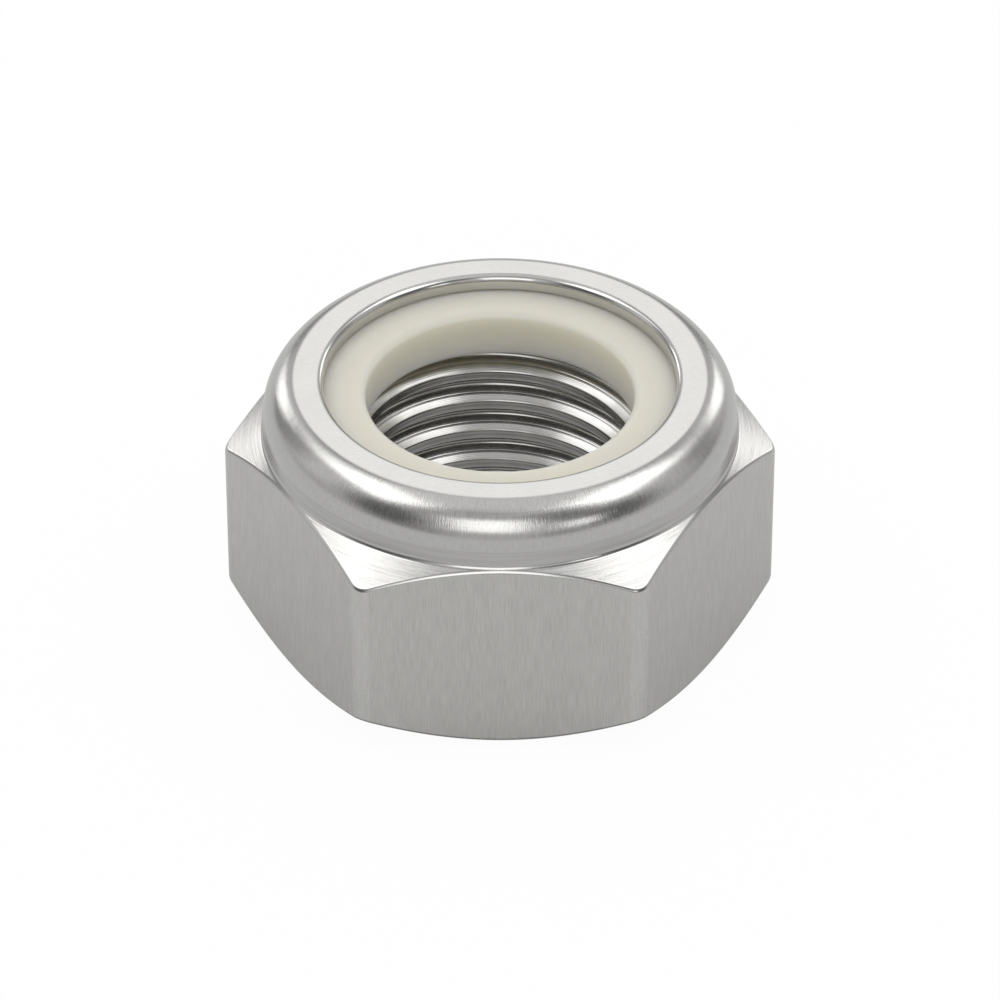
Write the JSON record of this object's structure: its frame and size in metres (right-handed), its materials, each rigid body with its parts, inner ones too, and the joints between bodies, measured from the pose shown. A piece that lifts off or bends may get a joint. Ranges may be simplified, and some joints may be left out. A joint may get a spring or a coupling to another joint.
{
  "type": "nylon insert lock nut",
  "caption": "Hexagonal steel lock nut whose rolled collar holds a nylon ring that grips the bolt's thread.",
  "frame": {"origin": "centre of the bearing face, on the thread's axis", "axes": "+Z along the thread's axis from the bearing face to the collar, two flats square to Y, two corners along X"},
  "size_m": [0.0526, 0.046, 0.0266],
  "materials": {
    "steel": "bright stainless steel with a fine brushed grain",
    "nylon": "natural off-white nylon, satin"
  },
  "bodies": {
    "root": {"nut_body": "steel", "nylon_insert": "nylon"}
  },
  "joints": []
}
